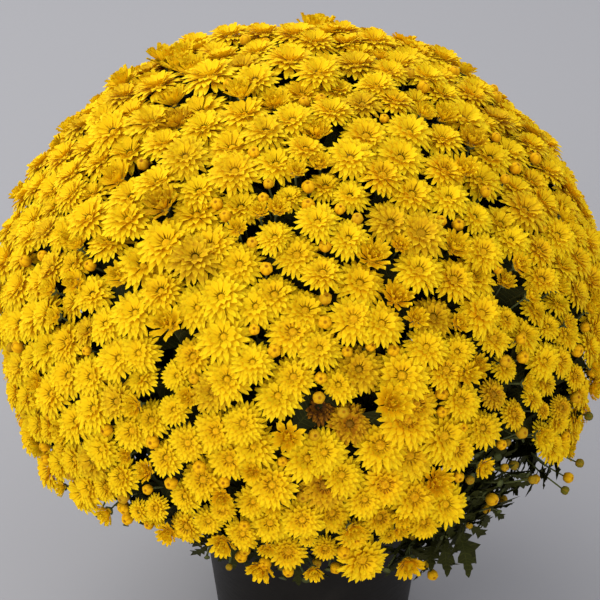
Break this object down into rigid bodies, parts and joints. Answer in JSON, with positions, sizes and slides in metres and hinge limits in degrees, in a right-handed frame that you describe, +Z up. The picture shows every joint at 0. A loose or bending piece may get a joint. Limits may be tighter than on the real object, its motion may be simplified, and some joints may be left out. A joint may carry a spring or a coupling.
{
  "type": "pot chrysanthemum",
  "caption": "Pot chrysanthemum: a dense dome of yellow daisy-like blooms on leafy stems that stand in potting mix, in a plain dark round plastic nursery pot.",
  "frame": {"origin": "middle of the pot's underside, the face it rests on", "axes": "+Z up; -Y faces the side seen from the front, where a few leaves show to the right of the middle; +X to the right of that view"},
  "size_m": [0.5974, 0.6074, 0.6681],
  "materials": {
    "pot": "satin, lightly scuffed black plastic",
    "soil": "rough peat and bark potting mix",
    "bloom": "soft matte petals",
    "stem": "matte green leaves and stems"
  },
  "bodies": {
    "root": {"pot": "pot", "soil": "soil", "blooms_01": "bloom", "blooms_02": "bloom", "blooms_03": "bloom", "blooms_04": "bloom", "blooms_05": "bloom", "blooms_06": "bloom", "blooms_07": "bloom", "blooms_08": "bloom", "blooms_09": "bloom", "blooms_10": "bloom", "blooms_11": "bloom", "blooms_12": "bloom", "blooms_13": "bloom", "blooms_14": "bloom", "blooms_15": "bloom", "blooms_16": "bloom", "blooms_17": "bloom", "blooms_18": "bloom", "blooms_19": "bloom", "blooms_20": "bloom", "blooms_21": "bloom", "blooms_22": "bloom", "blooms_23": "bloom", "blooms_24": "bloom", "stem_01": "stem", "stem_02": "stem", "stem_03": "stem", "stem_04": "stem", "stem_05": "stem", "stem_06": "stem", "stem_07": "stem", "stem_08": "stem", "stem_09": "stem", "stem_10": "stem", "stem_11": "stem", "stem_12": "stem", "stem_13": "stem", "stem_14": "stem", "stem_15": "stem", "stem_16": "stem", "stem_17": "stem", "stem_18": "stem", "stem_19": "stem", "stem_20": "stem", "stem_21": "stem", "stem_22": "stem", "stem_23": "stem", "stem_24": "stem"}
  },
  "joints": []
}
